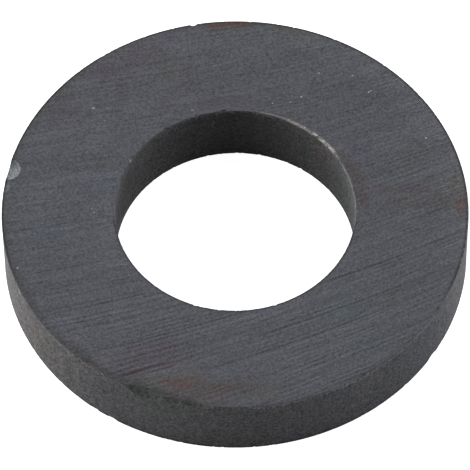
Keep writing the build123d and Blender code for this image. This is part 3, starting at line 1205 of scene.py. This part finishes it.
# %% The OFBake map
# shares of the map: half a disc, a strip's height, and the gap at a strip's two ends
HALF_DISC = 0.24
STRIP_HEIGHT = 0.13
END_GAP = 0.012
LEVEL = 0.707
loops = len(mesh.loops)
corner = np.empty(loops, int)
mesh.loops.foreach_get("vertex_index", corner)
points = np.empty(len(mesh.vertices) * 3)
mesh.vertices.foreach_get("co", points)
points = points.reshape(-1, 3)[corner] / MM
face_of = np.repeat(np.arange(len(mesh.polygons)), [p.loop_total for p in mesh.polygons])
normals = np.array([p.normal for p in mesh.polygons])[face_of]
middles = np.array([p.center for p in mesh.polygons])[face_of] / MM
level_face = np.abs(normals[:, 2]) > LEVEL
uv = np.empty((loops, 2))
for up, centre_u in ((1, 0.25), (-1, 0.75)):
    pick = level_face & (normals[:, 2] * up > 0)
    scale = HALF_DISC / outer_radius
    uv[pick, 0] = centre_u + points[pick, 0] * up * scale
    uv[pick, 1] = 0.75 + points[pick, 1] * scale
# A corner's angle is counted from its face's middle, so no face is torn where the circle closes.
middle_turn = np.arctan2(middles[:, 1], middles[:, 0])
turn = np.arctan2(points[:, 1], points[:, 0])
turn = middle_turn + (turn - middle_turn + math.pi) % (2 * math.pi) - math.pi
on_rim = (normals * middles)[:, :2].sum(1) > 0
# which faces, where their strip starts, how far it goes round, and its lower edge on the map
for pick, start, span, base in (
    (on_rim & (middle_turn < 0), -math.pi, math.pi, 0.345),
    (on_rim & (middle_turn >= 0), 0.0, math.pi, 0.185),
    (~on_rim, -math.pi, 2 * math.pi, 0.025),
):
    pick = pick & ~level_face
    uv[pick, 0] = END_GAP + (turn[pick] - start) / span * (1 - 2 * END_GAP)
    uv[pick, 1] = base + points[pick, 2] / thickness * STRIP_HEIGHT
mesh.uv_layers.new(name="OFBake").data.foreach_set("uv", uv.ravel())
print("map spans", uv.min(0).round(3), "to", uv.max(0).round(3))

# %% [markdown]
# ## Stage, light and camera
#
# The ring lies on a white sheet. The camera's place was worked out from the outlines of the ring:
# it looks down at 56 degrees through a long lens. The sheet and the world are white to the camera
# and plain to everything else, so the white adds no light to the ring.


# %% The white sheet and the world
def seen_directly(tree):
    """1 for light that goes to the camera, straight, mirrored or through glass, and 0 for the rest."""
    straight = put(tree, "ShaderNodeLightPath", out="Is Camera Ray")
    seen = straight
    for label in ("Is Glossy Ray", "Is Transmission Ray"):
        seen = calc("MAXIMUM", seen, Wire(tree, straight.socket.node.outputs[label]))
    return seen


WHITE, PAPER_GREY = (1, 1, 1, 1), (0.7, 0.7, 0.7, 1)
# The sheet lies a hair below the ring, so that no two surfaces share a plane.
SHEET_SIZE, SHEET_DROP, SHEET_GLOW = 6.0, 0.00002, 0.96
bpy.ops.mesh.primitive_plane_add(size=SHEET_SIZE, location=(0, 0, -SHEET_DROP))
sheet = bpy.context.object
sheet.name = "white_sheet"
paper, tree = new_material("white_paper")
matte = put(tree, "ShaderNodeBsdfDiffuse", {"Color": PAPER_GREY})
wires = {"Color": WHITE, "Strength": seen_directly(tree) * SHEET_GLOW}
glow = put(tree, "ShaderNodeEmission", wires)
both = put(tree, "ShaderNodeAddShader", {0: matte, 1: glow})
put(tree, "ShaderNodeOutputMaterial", {"Surface": both})
sheet.data.materials.append(paper)

world = bpy.data.worlds.new("studio")
bpy.context.scene.world = world
world.use_nodes = True
tree = world.node_tree
tree.nodes.clear()
sky = put(tree, "ShaderNodeBackground", {"Color": WHITE, "Strength": seen_directly(tree)})
put(tree, "ShaderNodeOutputWorld", {"Surface": sky})
print("sheet of %.0f m, %.2f mm below the ring" % (SHEET_SIZE, SHEET_DROP / MM))

# %% The lamps
# name, angle round the ring, angle above the sheet, size, watts
LAMPS = [
    ("right_strip", 0, 7, 0.36, 3.24),
    ("right_softbox", 0, 35, 0.80, 7.60),
    ("back_right_strip", 45, 7, 0.36, 13.60),
    ("back_right_softbox", 45, 35, 0.80, 5.00),
    ("back_left_strip", 135, 7, 0.36, 14.00),
    ("back_left_softbox", 135, 35, 0.80, 13.20),
    ("left_strip", 180, 7, 0.36, 6.20),
    ("left_softbox", 180, 35, 0.80, 11.20),
]
LAMP_DISTANCE = 1.56
for name, turn, rise, size, watts in LAMPS:
    lamp = bpy.data.lights.new(name, "AREA")
    lamp.shape, lamp.size, lamp.energy = "SQUARE", size, watts
    holder = bpy.data.objects.new(name, lamp)
    turn, rise = math.radians(turn), math.radians(rise)
    flat = Vector((math.cos(turn), math.sin(turn), 0)) * math.cos(rise)
    holder.location = (flat + Vector((0, 0, math.sin(rise)))) * LAMP_DISTANCE
    holder.rotation_euler = (-holder.location).to_track_quat("-Z", "Y").to_euler()
    bpy.context.scene.collection.objects.link(holder)
print(len(LAMPS), "lamps, %.1f watts in all" % sum(lamp[4] for lamp in LAMPS))

# %% The camera
# angles, distance and target point in metres, and lens in millimetres
ELEVATION, ROLL = math.radians(56.0507), math.radians(-0.6973)
DISTANCE, LENS = 0.68129, 394.52
TARGET = Vector((-0.0459, -4.1139, thickness)) * MM
back = Vector((0, -math.cos(ELEVATION), math.sin(ELEVATION)))
right = Vector((1, 0, 0))
up = back.cross(right)
right, up = (
    right * math.cos(ROLL) + up * math.sin(ROLL),
    up * math.cos(ROLL) - right * math.sin(ROLL),
)
camera = bpy.data.objects.new("camera", bpy.data.cameras.new("camera"))
camera.data.sensor_width = 36.0
camera.data.lens = LENS
turn = Matrix((right, up, back)).transposed().to_4x4()
camera.matrix_world = Matrix.Translation(TARGET + back * DISTANCE) @ turn
bpy.context.scene.collection.objects.link(camera)
bpy.context.scene.camera = camera
bpy.context.scene.view_settings.view_transform = "Standard"
print("camera at", [round(c / MM) for c in camera.location], "mm")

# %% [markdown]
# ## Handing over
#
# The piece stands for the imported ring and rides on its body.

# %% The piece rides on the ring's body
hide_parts("ring_magnet")
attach(magnet, "root")
